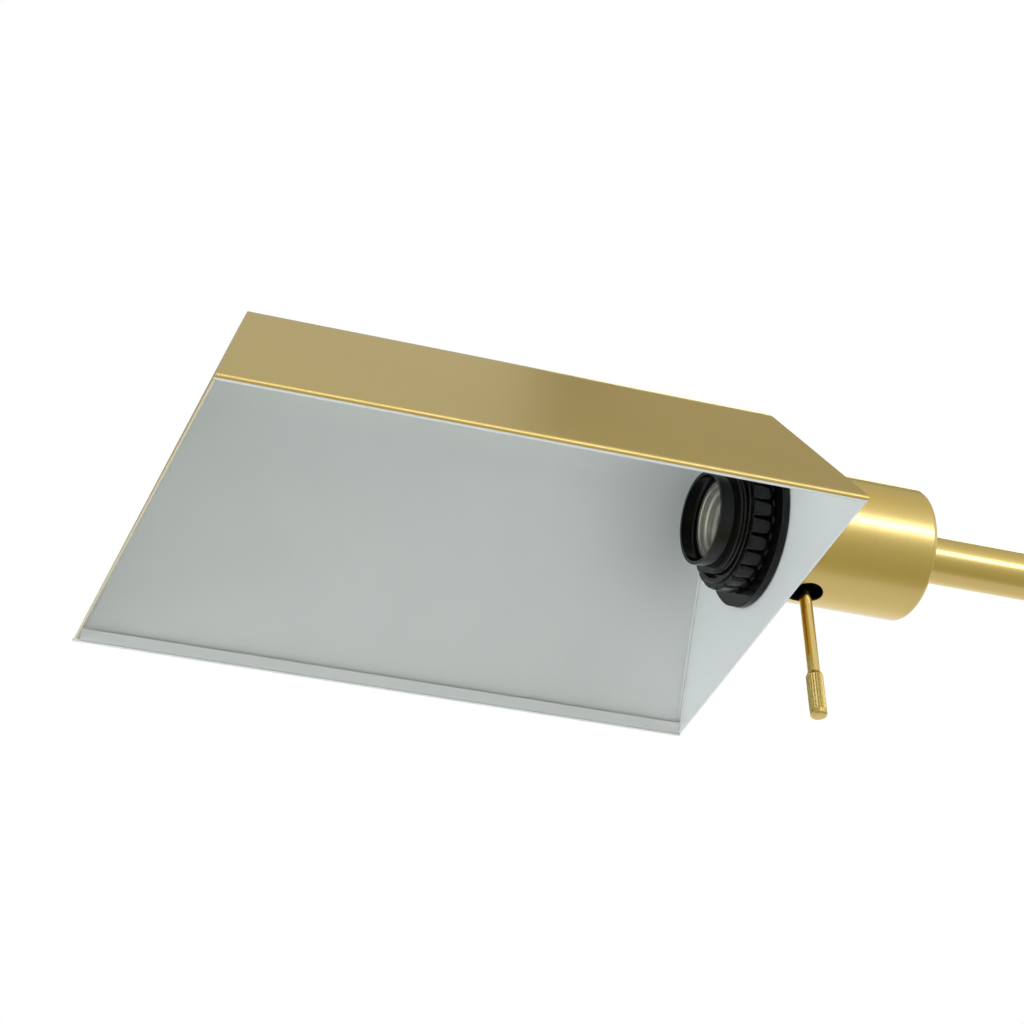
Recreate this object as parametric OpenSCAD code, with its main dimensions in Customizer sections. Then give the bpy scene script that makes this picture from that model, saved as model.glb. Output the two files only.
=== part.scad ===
// Reading floor lamp: a weighted round base, a telescoping brass pole, and a bent arm that carries a
// folded sheet-brass shade over a medium-screw lampholder with a turn-knob switch.
// Millimetres, +Z up. The origin is the centre of the base's underside, on the pole's axis.
// At rest the arm and the shade point along -X, and the shade opens straight down.

/* [Base] */
// Diameter of the base cover
base_d = 254; // [230:1:290]
// Height of the base cover's top above the floor
base_h = 24; // [22:0.5:32]
// Thickness of the felt pad that the lamp stands on
pad_t = 2.5; // [1.5:0.5:4]
// Thickness of the spun cover
cover_t = 1.2; // [0.8:0.1:2]
// Outside radius of the cover's rounded edge
cover_edge_r = 9; // [5:0.5:9]
// Height of the cover's rim above the floor
rim_lift = 2; // [1:0.5:3]
// Gap between the iron weight and the cover's wall
weight_gap = 1.5; // [1:0.1:3]
// Bore of the cord bushing
cord_bore = 6; // [5:0.1:6.5]
// Wall of the cord bushing
bushing_wall = 1.8; // [1.4:0.1:2]
// Diameter of the hollow threaded stud that ties the pole to the base
stud_d = 10; // [9:0.5:12]
// Bore of the hollow stud
stud_bore = 7; // [6:0.1:7.5]
// Thickness of the stud's hexagon nut
base_nut_h = 6; // [4:0.5:7]
// Width of the stud's hexagon nut across its flats
base_nut_af = 17; // [16:0.5:20]
// Diameter of the washer over the nut
base_washer_d = 28; // [25:0.5:34]
// Thickness of the washer over the nut
base_washer_t = 1.5; // [1:0.1:2.5]

/* [Pole] */
// Diameter of the lower pole tube
pole_d = 25; // [24:0.5:28]
// Wall of the lower pole tube
pole_wall = 1.5; // [1:0.1:1.8]
// Height of the lower pole's top above the floor
pole_top = 660; // [600:5:720]
// Length of the plug in the lower pole's foot
pole_plug_len = 24; // [18:1:40]
// Diameter of the turned foot round the pole
foot_d = 62; // [50:1:80]
// Height of the turned foot
foot_h = 18; // [12:0.5:26]
// Length of the nylon bush in the pole's top
bush_len = 26; // [16:1:40]
// Thickness of the bush's flange on the pole's top
bush_flange_t = 2; // [1:0.5:3]

/* [Stem and arm] */
// Diameter of the stem and arm tube
stem_d = 18; // [16:0.2:19]
// Wall of the stem and arm tube
stem_wall = 1.2; // [1:0.1:1.4]
// Height of the arm's axis above the floor, at rest
arm_z = 1180; // [1100:5:1260]
// Distance from the pole's axis to the arm's end
arm_reach = 190; // [150:1:240]
// Centreline radius of the bend between stem and arm
bend_r = 60; // [45:1:80]
// Length of stem inside the pole, at rest
stem_depth = 280; // [260:5:320]
// Length of the glider below the stem's end
glider_len = 30; // [20:1:45]
// Length of the glider's spigot inside the stem
spigot_len = 20; // [12:1:30]
// Bore of the glider, for the wires
glider_bore = 10; // [7:0.5:11]

/* [Clamp] */
// Diameter of the clamp collar
collar_d = 34; // [32:0.5:40]
// Depth of the collar's socket over the pole's top
collar_socket = 14; // [10:0.5:20]
// Height of the collar above the pole bush
collar_head = 20; // [16:0.5:28]
// Chamfer on the collar's rims
collar_chamfer = 1.5; // [0.5:0.1:2]
// Diameter of the clamp screw
screw_d = 6; // [5:0.5:8]
// Length of the nylon pad ahead of the clamp screw
clamp_pad_len = 3; // [2:0.5:4]
// Gap between the pad and the stem
clamp_gap = 0.3; // [0.2:0.1:0.5]
// Diameter of the clamp knob
clamp_knob_d = 18; // [14:0.5:19]
// Length of the clamp knob
clamp_knob_len = 15; // [10:0.5:20]
// Gap between the clamp knob and the collar
clamp_knob_gap = 1.5; // [1:0.1:3]
// Depth of the clamp stud inside its knob
clamp_stud_seat = 8; // [5:0.5:9]
// Number of knurls round the clamp knob
clamp_knurls = 36; // [24:1:48]

/* [Shade] */
// Length of the shade along its open edge
shade_len = 240; // [220:1:280]
// Width of the shade across its open edge
shade_w = 160.4; // [150:0.2:180]
// Height of the shade from its open edge to its crown
shade_h = 90; // [86:0.5:100]
// Outside radius of the rounded crown
crown_r = 32; // [24:0.5:36]
// Lean of the far end panel from upright, in degrees
nose_lean = 23; // [10:1:30]
// Thickness of the shade's sheet
sheet_t = 0.8; // [0.6:0.1:1.2]
// Width of the hem folded inside each long edge
hem_w = 5; // [4:0.5:7]
// Clear gap inside the folded hem
hem_gap = 1.2; // [0.4:0.1:2]
// Height of the lampholder's axis above the open edge
axis_h = 43.8; // [42:0.2:46]

/* [Lampholder] */
// Diameter of the lampholder cup
cup_d = 50.8; // [48:0.2:56]
// Length of the lampholder cup
cup_len = 64.6; // [60:0.2:75]
// Wall of the lampholder cup
cup_wall = 1.2; // [0.8:0.1:1.6]
// Thickness of the cup's closed back
cup_back_t = 1.5; // [1:0.1:2.5]
// Radius of the cup's back edge
cup_edge_r = 2.5; // [1:0.1:4]
// Diameter of the lampholder's body inside the cup
holder_d = 43; // [42:0.2:44]
// Diameter of the lampholder's threaded neck
neck_d = 39.5; // [38.5:0.1:40.5]
// Diameter of the lampholder's plain rim
rim_d = 35.2; // [34:0.1:37]
// Length of the plain rim ahead of the thread
rim_len = 4.8; // [3:0.1:8]
// Depth of the screw shell's front below the rim
shell_inset = 5.4; // [4:0.1:8]
// Inside diameter of the screw shell
shell_bore = 26.6; // [26.4:0.1:27.2]
// Thickness of the screw shell
shell_t = 0.4; // [0.3:0.05:0.6]
// Depth of the screw shell
shell_len = 28.5; // [22:0.1:30]
// Diameter of the mouth in the plain rim
mouth_d = 29.4; // [28.8:0.1:30]
// Diameter of the lampholder's hub on the nipple
hub_d = 18; // [16:0.5:22]
// Length of the lampholder's hub
hub_len = 9; // [7:0.5:11]
// Diameter of the centre contact
contact_d = 8; // [6:0.5:9]
// Height of the centre contact
contact_h = 3; // [2:0.5:4]
// Distance of each terminal screw from the lampholder's axis
terminal_r = 14.5; // [14:0.1:16]
// Diameter of the shade ring's flange
ring_flange_d = 61.6; // [56:0.2:66]
// Thickness of the shade ring's flange
ring_flange_t = 3.6; // [2.5:0.1:5]
// Diameter of the shade ring's fluted barrel
ring_barrel_d = 51; // [46:0.2:52]
// Length of the shade ring's fluted barrel
ring_barrel_len = 9.1; // [7:0.1:10]
// Number of flutes round the shade ring
ring_flutes = 24; // [20:1:36]
// Radius of each flute's groove
ring_flute_r = 1.2; // [1:0.1:2]

/* [Swivel] */
// Diameter of the hollow swivel nipple
nipple_d = 9.8; // [9:0.1:10.4]
// Bore of the swivel nipple
nipple_bore = 7; // [6:0.1:7.6]
// Length of the plug in the arm's end
arm_plug_len = 14; // [10:0.5:24]
// Thickness of the fibre washer between the arm and the cup
fibre_t = 1; // [0.5:0.1:2]
// Thickness of the stop washer
stop_washer_t = 1.5; // [1:0.1:2.5]
// Diameter of the stop washer
stop_washer_d = 11.6; // [11.2:0.1:11.8]
// Width of the stop washer's lug
stop_lug_w = 2; // [1.5:0.1:2.5]
// Diameter of the stop pin
stop_pin_d = 1.2; // [1:0.1:1.3]
// Depth of the stop pin in the arm plug
stop_pin_seat = 4; // [3:0.5:6]
// Thickness of the wave washer
wave_t = 1; // [0.6:0.1:1.5]
// Thickness of the swivel nut and of the cup nut
swivel_nut_h = 4; // [3:0.5:6]
// Width of the swivel nut across its flats
swivel_nut_af = 12; // [11.5:0.1:12.6]
// Width of the cup nut across its flats
cup_nut_af = 14; // [13:0.5:17]
// Thickness of the cup's lock washer
cup_washer_t = 1; // [0.8:0.1:2]
// Diameter of the cup's lock washer
cup_washer_d = 17; // [15:0.5:22]

/* [Switch] */
// Distance of the switch axis behind the shade's end panel
switch_back = 18.6; // [17:0.1:22]
// Turn of the switch axis about the arm, in degrees towards +Y
switch_clock = 5; // [0:1:15]
// Diameter of the clear hole in the cup round the switch rod
switch_hole_d = 13.5; // [12:0.5:16]
// Diameter of the switch rod
rod_d = 4.6; // [4:0.1:5.5]
// Distance from the arm's axis to the switch knob's shoulder
knob_start = 58.8; // [50:0.2:70]
// Diameter of the switch knob
knob_d = 6.4; // [6:0.1:8]
// Length of the switch knob
knob_len = 18.3; // [14:0.1:24]
// Depth of the rod inside its knob
knob_seat = 8; // [5:0.5:12]
// Number of knurls round the switch knob
knob_knurls = 20; // [14:1:28]
// Diameter of the switch rotor inside the lampholder
rotor_d = 8.8; // [8:0.1:9.6]
// Distance from the arm's axis to the rotor's inner end
rotor_start = 8; // [7:0.5:9]
// Length of the switch rotor
rotor_len = 11; // [8:0.5:12]

/* [Fits] */
// Radial clearance of fits that turn or slide
running = 0.06; // [0.02:0.01:0.1]
// Radial clearance of fits that stay put
slip = 0.05; // [0.02:0.01:0.1]
// Axial gap between faces that turn past each other
face_gap = 0.1; // [0.05:0.05:0.3]
// Radial gap between the stem and the clamp collar
collar_gap = 0.3; // [0.2:0.05:0.4]

/* [Hidden] */
$fn = 64;
cut = 1;             // overrun of a cutting shape past the face that it opens
arc_steps = 8;       // straight steps in a rounded edge of a turned outline
crown_steps = 24;    // straight steps in the shade's rounded crown

brass = "#b5a26a";
nickel = "#c1c4bb";
phenolic = "#1b1c1b";
enamel = "#d0d6d4";
iron = "#4a4a48";
steel = "#9a9a96";
felt = "#3b3633";
nylon = "#dcd8cc";
fibre = "#7a4a32";

base_r = base_d / 2;
weight_r = base_r - cover_t - weight_gap;
weight_top = base_h - cover_t;
pad_inset = 1;
nut_gap = 1;                                            // gap between the pad and the nut
nut_face = pad_t + nut_gap;
washer_face = nut_face + base_nut_h;
pocket_top = washer_face + base_washer_t;
pocket_gap = 2;                                         // room round the washer in the weight's pocket
pocket_r = max(base_washer_d, base_nut_af / cos(30)) / 2 + pocket_gap;
bushing_r = cord_bore / 2 + bushing_wall;
bushing_flange = 1.5;                                   // width and thickness of the bushing's flange
inlet_gap = 0.5;                                        // gap between the pad and the bushing's flange
inlet_z = pad_t + bushing_r + bushing_flange + inlet_gap;
channel_gap = 1;                                        // room round the bushing in the weight's channel
channel_w = 2 * (bushing_r + bushing_flange + channel_gap);

pole_r = pole_d / 2;
pole_bore_r = pole_r - pole_wall;
stud_short = 2;                                         // depth of the stud's end inside the plug
stud_top = base_h + pole_plug_len - stud_short;
foot_land = 3;                                          // upright band at the foot's rim
foot_neck = 4;                                          // wall left at the foot's top

stem_r = stem_d / 2;
stem_bore_r = stem_r - stem_wall;
stem_bottom = pole_top - stem_depth;
bend_z = arm_z - bend_r;

collar_bottom = pole_top - collar_socket;
collar_step = pole_top + bush_flange_t;
collar_top = collar_step + collar_head;
clamp_z = collar_step + collar_head / 2;
screw_r = screw_d / 2;
clamp_pad_x = stem_r + clamp_gap;
clamp_stud_x = clamp_pad_x + clamp_pad_len + face_gap;
clamp_knob_x = collar_d / 2 + clamp_knob_gap;
knurl_depth = 0.4;

// Distances along the arm are measured from the cup's back face towards the shade.
arm_end = -(fibre_t + face_gap);
cup_back_x = -arm_reach + arm_end;
plug_back = arm_end - arm_plug_len;
stop_front = plug_back - face_gap;
wave_front = stop_front - stop_washer_t;
swivel_nut_front = wave_front - wave_t;
nipple_spare = 1;                                       // nipple left past its nut, and short of the holder
nipple_start = swivel_nut_front - swivel_nut_h - nipple_spare;
cup_nut_start = cup_back_t + cup_washer_t;
hub_gap = 0.5;                                          // gap between the cup nut and the lampholder's hub
hub_start = cup_nut_start + swivel_nut_h + hub_gap;
holder_start = hub_start + hub_len;
nipple_end = holder_start - nipple_spare;
nipple_r = nipple_d / 2;
stop_rim = 0.4;                                         // gap between the stop pin or lug and the arm's bore
stop_pin_r = stem_bore_r - stop_rim - stop_pin_d / 2;   // distance of the stop pin from the arm's axis
panel_face = cup_len + sheet_t;                         // inside face of the lampholder-side panel
switch_at = cup_len - switch_back;
floor_wall = 2.5;                                       // wall between the switch rotor and the screw shell
shell_floor = switch_at + rotor_d / 2 + floor_wall;
shell_front = shell_floor + shell_len;
holder_rim = shell_front + shell_inset;
thread_end = holder_rim - rim_len;
shell_r = shell_bore / 2 + shell_t;
ring_front = panel_face + ring_flange_t + ring_barrel_len;
contact_gap = 2;                                        // clear ring round the centre contact
contact_hole_r = contact_d / 2 + contact_gap;
contact_seat = shell_floor - contact_h;                 // floor of the recess under the screw shell
terminal_d = 3.4;
terminal_head_d = 6.4;
terminal_head_h = 2.2;
terminal_seat = 6;

shade_x = cup_back_x - cup_len - shade_len;             // far end of the open edge
half_w = shade_w / 2;
crown_z = shade_h - crown_r;
// Slope of the shade's sides: the line from the open edge that is tangent to the crown
side_angle = atan2(crown_z, half_w) + asin(crown_r / norm([half_w, crown_z]));
hem_r = sheet_t + hem_gap / 2;
hem_top = hem_w * sin(side_angle) + hem_r;
neck_hole_r = neck_d / 2 + slip;

// Points of an arc about centre c, from angle a0 to angle a1
function arc(c, r, a0, a1, n) = [for (i = [0:n]) let (a = a0 + (a1 - a0) * i / n) c + r * [cos(a), sin(a)]];
function flip(points) = [for (i = [len(points) - 1:-1:0]) [-points[i][0], points[i][1]]];
function reversed(points) = [for (i = [len(points) - 1:-1:0]) points[i]];
// Half-width of the shade at height z, measured to a line set inwards from the outside face
function half_at(inset, z) = half_w - inset / sin(side_angle) - z / tan(side_angle);
function crown_arc(inset) = arc([0, crown_z], crown_r - inset, 90 - side_angle, 90 + side_angle, crown_steps);

module pipe(r, bore_r, h) {
    difference() {
        cylinder(r = r, h = h);
        translate([0, 0, -cut]) cylinder(r = bore_r, h = h + 2 * cut);
    }
}

module hex_nut(af, bore_r, h) {
    difference() {
        cylinder(d = af / cos(30), h = h, $fn = 6);
        translate([0, 0, -cut]) cylinder(r = bore_r, h = h + 2 * cut);
    }
}

// Round bar with straight knurls along it
module knurled(d, h, count) {
    linear_extrude(h) polygon([for (i = [0:2 * count - 1])
        (d / 2 - (i % 2) * knurl_depth) * [cos(180 * i / count), sin(180 * i / count)]]);
}

// Places a turned piece on the arm's axis, at a distance from the cup's back, growing towards the shade
module on_arm(at) {
    translate([cup_back_x - at, 0, arm_z]) rotate([0, -90, 0]) children();
}

// Places a turned piece on the switch axis, growing outwards from the arm's axis
module on_switch(at) {
    translate([cup_back_x - switch_at, 0, arm_z]) rotate([180 + switch_clock, 0, 0])
        translate([0, 0, at]) children();
}

// Places a turned piece on the clamp screw's axis, growing outwards from the pole's axis
module on_clamp(at) {
    translate([at, 0, clamp_z]) rotate([0, 90, 0]) children();
}

// Extrudes an upright section of the shade along its length
module along_shade(from, to) {
    translate([shade_x + from, 0, arm_z - axis_h]) rotate([90, 0, 90]) linear_extrude(to - from) children();
}

// Everything beyond a plane that leans like the far end panel, set inwards from its outside face
module beyond_nose(inset) {
    translate([shade_x, 0, arm_z - axis_h]) rotate([0, nose_lean, 0])
        translate([inset - shade_len, -shade_w, -shade_h]) cube([shade_len, 2 * shade_w, 4 * shade_h]);
}

// Base, from the floor up

module base_pad() {
    color(felt) cylinder(r = weight_r - pad_inset, h = pad_t);
}

module base_weight() {
    color(iron) difference() {
        rotate_extrude() polygon([[0, pad_t], [weight_r, pad_t], [weight_r, weight_top - cover_edge_r],
            [weight_r - cover_edge_r, weight_top], [0, weight_top]]);
        translate([0, 0, pad_t - cut]) cylinder(r = pocket_r, h = pocket_top - pad_t + cut);
        cylinder(d = stud_d + 2 * slip, h = base_h);
        translate([0, -channel_w / 2, pad_t - cut])
            cube([base_r, channel_w, inlet_z + channel_w / 2 - pad_t + cut]);
    }
}

module base_cover() {
    edge = [base_r - cover_edge_r, base_h - cover_edge_r];
    color(brass) difference() {
        rotate_extrude() polygon(concat(
            [[0, base_h - cover_t]], arc(edge, cover_edge_r - cover_t, 90, 0, arc_steps),
            [[base_r - cover_t, rim_lift], [base_r, rim_lift]],
            arc(edge, cover_edge_r, 0, 90, arc_steps), [[0, base_h]]));
        cylinder(d = stud_d + 2 * slip, h = base_h + cut);
        translate([base_r / 2, 0, inlet_z]) rotate([0, 90, 0]) cylinder(r = bushing_r + slip, h = base_r);
    }
}

module base_stud() {
    color(steel) translate([0, 0, nut_face]) pipe(stud_d / 2, stud_bore / 2, stud_top - nut_face);
}

module base_washer() {
    color(steel) translate([0, 0, washer_face]) pipe(base_washer_d / 2, stud_d / 2 + slip, base_washer_t);
}

module base_nut() {
    color(steel) translate([0, 0, nut_face]) hex_nut(base_nut_af, stud_d / 2 + slip, base_nut_h);
}

module cord_bushing() {
    wall_in = base_r - cover_t - bushing_flange;
    color(phenolic) translate([wall_in, 0, inlet_z]) rotate([0, 90, 0]) difference() {
        union() {
            cylinder(r = bushing_r, h = cover_t + 2 * bushing_flange);
            translate([0, 0, cover_t + bushing_flange])
                cylinder(r = bushing_r + bushing_flange, h = bushing_flange);
        }
        translate([0, 0, -cut]) cylinder(d = cord_bore, h = cover_t + 2 * bushing_flange + 2 * cut);
    }
}

// Pole

module pole_plug() {
    color(steel) translate([0, 0, base_h]) pipe(pole_bore_r - slip, stud_d / 2 + slip, pole_plug_len);
}

module pole_foot() {
    bore = pole_r + slip;
    neck = pole_r + foot_neck;
    color(brass) translate([0, 0, base_h]) rotate_extrude() polygon(concat(
        [[bore, 0], [foot_d / 2, 0]],
        [for (i = [0:arc_steps]) let (a = 90 * i / arc_steps)
            [foot_d / 2 - (foot_d / 2 - neck) * sin(a), foot_h - (foot_h - foot_land) * cos(a)]],
        [[bore, foot_h]]));
}

module lower_pole() {
    color(brass) translate([0, 0, base_h]) pipe(pole_r, pole_bore_r, pole_top - base_h);
}

module pole_bush() {
    color(nylon) difference() {
        union() {
            translate([0, 0, pole_top - bush_len]) cylinder(r = pole_bore_r - slip, h = bush_len);
            translate([0, 0, pole_top]) cylinder(r = pole_r, h = bush_flange_t);
        }
        translate([0, 0, pole_top - bush_len - cut])
            cylinder(r = stem_r + running, h = bush_len + bush_flange_t + 2 * cut);
    }
}

module clamp_collar() {
    r = collar_d / 2;
    c = collar_chamfer;
    color(brass) difference() {
        rotate_extrude() polygon([
            [0, collar_bottom], [r - c, collar_bottom], [r, collar_bottom + c],
            [r, collar_top - c], [r - c, collar_top], [0, collar_top]]);
        translate([0, 0, collar_bottom - cut])
            cylinder(r = pole_r + slip, h = collar_step - collar_bottom + cut);
        translate([0, 0, collar_bottom]) cylinder(r = stem_r + collar_gap, h = collar_top);
        on_clamp(0) cylinder(r = screw_r, h = collar_d);
    }
}

// Clamp screw

module clamp_pad() {
    color(nylon) on_clamp(clamp_pad_x) cylinder(r = screw_r - running, h = clamp_pad_len);
}

module clamp_stud() {
    color(steel) on_clamp(clamp_stud_x)
        cylinder(r = screw_r - running, h = clamp_knob_x + clamp_stud_seat - clamp_stud_x);
}

module clamp_knob() {
    color(brass) difference() {
        on_clamp(clamp_knob_x) knurled(clamp_knob_d, clamp_knob_len, clamp_knurls);
        on_clamp(clamp_knob_x - cut) cylinder(r = screw_r, h = clamp_stud_seat + cut);
    }
}

// Stem, arm and swivel

module stem_glider() {
    color(nylon) difference() {
        union() {
            translate([0, 0, stem_bottom - face_gap - glider_len])
                cylinder(r = pole_bore_r - running, h = glider_len);
            translate([0, 0, stem_bottom - face_gap - cut])
                cylinder(r = stem_bore_r - running, h = spigot_len + face_gap + cut);
        }
        translate([0, 0, stem_bottom - glider_len - 2 * cut])
            cylinder(d = glider_bore, h = glider_len + spigot_len + 4 * cut);
    }
}

// The stem's path as a solid bar, with its two ends lengthened for cutting
module stem_bar(r, over) {
    translate([0, 0, stem_bottom - over]) cylinder(r = r, h = bend_z - stem_bottom + over);
    translate([-bend_r, 0, bend_z]) rotate([90, 0, 0])
        rotate_extrude(angle = 90) translate([bend_r, 0]) circle(r = r);
    translate([-bend_r, 0, arm_z]) rotate([0, -90, 0]) cylinder(r = r, h = arm_reach - bend_r + over);
}

module upper_stem() {
    color(brass) difference() {
        stem_bar(stem_r, 0);
        stem_bar(stem_bore_r, cut);
    }
}

module arm_plug() {
    color(brass) difference() {
        on_arm(plug_back) pipe(stem_bore_r - slip, nipple_r + running, arm_plug_len);
        on_arm(plug_back - cut) translate([-stop_pin_r, 0, 0])
            cylinder(d = stop_pin_d, h = stop_pin_seat + cut);
    }
}

module stop_pin() {
    color(steel) on_arm(wave_front) translate([-stop_pin_r, 0, 0])
        cylinder(d = stop_pin_d, h = plug_back + stop_pin_seat - wave_front);
}

module friction_washer() {
    color(fibre) on_arm(arm_end) pipe(stem_r, nipple_r + running, fibre_t);
}

// Head: what turns about the arm

module swivel_nipple() {
    color(steel) on_arm(nipple_start) pipe(nipple_r, nipple_bore / 2, nipple_end - nipple_start);
}

module stop_washer() {
    color(steel) on_arm(wave_front) difference() {
        union() {
            cylinder(d = stop_washer_d, h = stop_washer_t);
            translate([0, -stop_lug_w / 2, 0]) cube([stem_bore_r - stop_rim, stop_lug_w, stop_washer_t]);
        }
        translate([0, 0, -cut]) cylinder(r = nipple_r + slip, h = stop_washer_t + 2 * cut);
    }
}

module wave_washer() {
    color(steel) on_arm(swivel_nut_front) pipe(swivel_nut_af / 2, nipple_r + slip, wave_t);
}

module swivel_nut() {
    color(steel) on_arm(swivel_nut_front - swivel_nut_h)
        hex_nut(swivel_nut_af, nipple_r + slip, swivel_nut_h);
}

module socket_cup() {
    r = cup_d / 2;
    edge = [r - cup_edge_r, cup_edge_r];
    color(brass) difference() {
        on_arm(0) rotate_extrude() polygon(concat(
            [[0, 0]], arc(edge, cup_edge_r, -90, 0, arc_steps),
            [[r, cup_len], [r - cup_wall, cup_len], [r - cup_wall, cup_edge_r]],
            [[r - cup_edge_r, cup_back_t], [0, cup_back_t]]));
        on_arm(-cut) cylinder(r = nipple_r + slip, h = cup_back_t + 2 * cut);
        on_switch(holder_d / 2) cylinder(d = switch_hole_d, h = cup_d / 2);
    }
}

module cup_washer() {
    color(steel) on_arm(cup_back_t) pipe(cup_washer_d / 2, nipple_r + slip, cup_washer_t);
}

module cup_nut() {
    color(steel) on_arm(cup_nut_start) hex_nut(cup_nut_af, nipple_r + slip, swivel_nut_h);
}

module at_terminals(at) {
    for (side = [-1, 1]) on_arm(at) translate([0, side * terminal_r, 0]) children();
}

module socket_body() {
    color(phenolic) difference() {
        union() {
            on_arm(hub_start) cylinder(d = hub_d, h = hub_len);
            on_arm(holder_start) cylinder(d = holder_d, h = cup_len - holder_start);
            on_arm(cup_len) cylinder(d = neck_d, h = thread_end - cup_len);
            on_arm(thread_end) cylinder(d = rim_d, h = rim_len);
        }
        on_arm(hub_start - cut) cylinder(r = nipple_r + slip, h = hub_len + 2 * cut);
        on_arm(shell_floor) cylinder(r = shell_r + slip, h = shell_len);
        on_arm(contact_seat) cylinder(r = contact_hole_r, h = contact_h + cut);
        on_arm(shell_front) cylinder(d = mouth_d, h = shell_inset + cut);
        on_switch(rotor_start) cylinder(d = rotor_d + 2 * running, h = holder_d / 2);
        at_terminals(holder_start - cut) cylinder(d = terminal_d, h = terminal_seat + cut);
    }
}

module terminal_screws() {
    color(brass) {
        at_terminals(holder_start) cylinder(d = terminal_d, h = terminal_seat);
        at_terminals(holder_start - terminal_head_h) cylinder(d = terminal_head_d, h = terminal_head_h);
    }
}

module screw_shell() {
    color(nickel) difference() {
        on_arm(shell_floor) cylinder(r = shell_r, h = shell_len);
        on_arm(shell_floor + shell_t) cylinder(d = shell_bore, h = shell_len);
        on_arm(shell_floor - cut) cylinder(r = contact_hole_r, h = shell_t + 2 * cut);
    }
}

module centre_contact() {
    color(brass) on_arm(contact_seat) {
        cylinder(d = contact_d, h = contact_h / 2);
        cylinder(d = contact_d / 2, h = contact_h);
    }
}

module shade_ring() {
    color(phenolic) difference() {
        union() {
            on_arm(panel_face) cylinder(d = ring_flange_d, h = ring_flange_t);
            on_arm(panel_face + ring_flange_t) linear_extrude(ring_barrel_len) difference() {
                circle(d = ring_barrel_d);
                for (i = [0:ring_flutes - 1]) rotate(360 * i / ring_flutes)
                    translate([ring_barrel_d / 2 + ring_flute_r / 3, 0]) circle(r = ring_flute_r);
            }
        }
        on_arm(panel_face - cut) cylinder(r = neck_hole_r, h = ring_front - panel_face + 2 * cut);
    }
}

// Shade

// Outline of the hood's sheet: hem, side, crown, side, hem, out along one face and back along the other
function hood_outline() =
    let (out = [sin(side_angle), cos(side_angle)],
         up = [-cos(side_angle), sin(side_angle)],
         fold = [half_at(hem_r, hem_r), hem_r],
         lip = fold + (hem_w - hem_r) * up,
         turn = 90 - side_angle,
         outer = concat([lip - hem_r * out], arc(fold, hem_r, turn - 180, turn, arc_steps)),
         inner = concat([lip - hem_gap / 2 * out], arc(fold, hem_gap / 2, turn - 180, turn, arc_steps)))
    concat(outer, crown_arc(0), flip(outer), reversed(concat(inner, crown_arc(sheet_t), flip(inner))));

// Outline of an end panel, let in between the hood's sides and stepped in over the hems
module panel_outline() {
    hem_inset = 2 * hem_r + slip;
    foot = [[half_at(hem_inset, 0), 0], [half_at(hem_inset, hem_top), hem_top],
        [half_at(sheet_t, hem_top), hem_top]];
    polygon(concat(foot, crown_arc(sheet_t), flip(foot)));
}

module shade_hood() {
    color(brass) difference() {
        along_shade(0, shade_len) polygon(hood_outline());
        beyond_nose(0);
    }
}

module shade_nose_panel() {
    color(brass) difference() {
        intersection() {
            along_shade(0, shade_len) panel_outline();
            beyond_nose(sheet_t);
        }
        beyond_nose(0);
    }
}

module shade_socket_panel() {
    color(enamel) difference() {
        along_shade(shade_len - sheet_t, shade_len) panel_outline();
        on_arm(cup_len - cut) cylinder(r = neck_hole_r, h = sheet_t + 2 * cut);
    }
}

// Switch

module switch_rotor() {
    color(phenolic) difference() {
        on_switch(rotor_start + face_gap) cylinder(d = rotor_d, h = rotor_len);
        on_switch(rotor_start + rotor_len / 2) cylinder(d = rod_d + 2 * slip, h = rotor_len);
    }
}

module switch_rod() {
    rod_start = rotor_start + rotor_len / 2;
    color(brass) on_switch(rod_start) cylinder(d = rod_d, h = knob_start + knob_seat - rod_start);
}

module switch_knob() {
    color(brass) difference() {
        on_switch(knob_start) knurled(knob_d, knob_len, knob_knurls);
        on_switch(knob_start - cut) cylinder(d = rod_d + 2 * slip, h = knob_seat + cut);
    }
}

base_pad();
base_weight();
base_cover();
base_stud();
base_washer();
base_nut();
cord_bushing();
pole_plug();
pole_foot();
lower_pole();
pole_bush();
clamp_collar();
clamp_pad();
clamp_stud();
clamp_knob();
stem_glider();
upper_stem();
arm_plug();
stop_pin();
friction_washer();
swivel_nipple();
stop_washer();
wave_washer();
swivel_nut();
socket_cup();
cup_washer();
cup_nut();
socket_body();
terminal_screws();
screw_shell();
centre_contact();
shade_ring();
shade_hood();
shade_nose_panel();
shade_socket_panel();
switch_rotor();
switch_rod();
switch_knob();
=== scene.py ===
# A brass reading floor lamp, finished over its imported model. The frame gives places and sizes, and each
# section below makes one piece, or a few like pieces, in the order in which the lamp is put together.
import math
import random

import bmesh
import bpy
from mathutils import Matrix, Vector


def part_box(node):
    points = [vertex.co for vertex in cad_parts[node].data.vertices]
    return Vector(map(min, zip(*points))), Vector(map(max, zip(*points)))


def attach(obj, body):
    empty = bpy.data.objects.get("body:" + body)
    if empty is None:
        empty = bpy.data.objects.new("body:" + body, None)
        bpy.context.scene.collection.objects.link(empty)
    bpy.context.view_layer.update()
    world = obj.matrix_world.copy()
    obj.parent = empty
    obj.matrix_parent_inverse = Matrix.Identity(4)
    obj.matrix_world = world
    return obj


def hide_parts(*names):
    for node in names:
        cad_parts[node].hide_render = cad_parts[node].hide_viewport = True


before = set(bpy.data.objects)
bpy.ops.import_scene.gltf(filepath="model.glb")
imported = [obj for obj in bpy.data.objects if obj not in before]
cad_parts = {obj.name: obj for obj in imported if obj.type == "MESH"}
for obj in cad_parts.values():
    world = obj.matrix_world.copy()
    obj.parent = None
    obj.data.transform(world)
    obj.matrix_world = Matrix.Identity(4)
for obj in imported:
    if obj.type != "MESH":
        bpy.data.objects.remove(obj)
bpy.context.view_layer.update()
MM = 0.001


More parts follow.
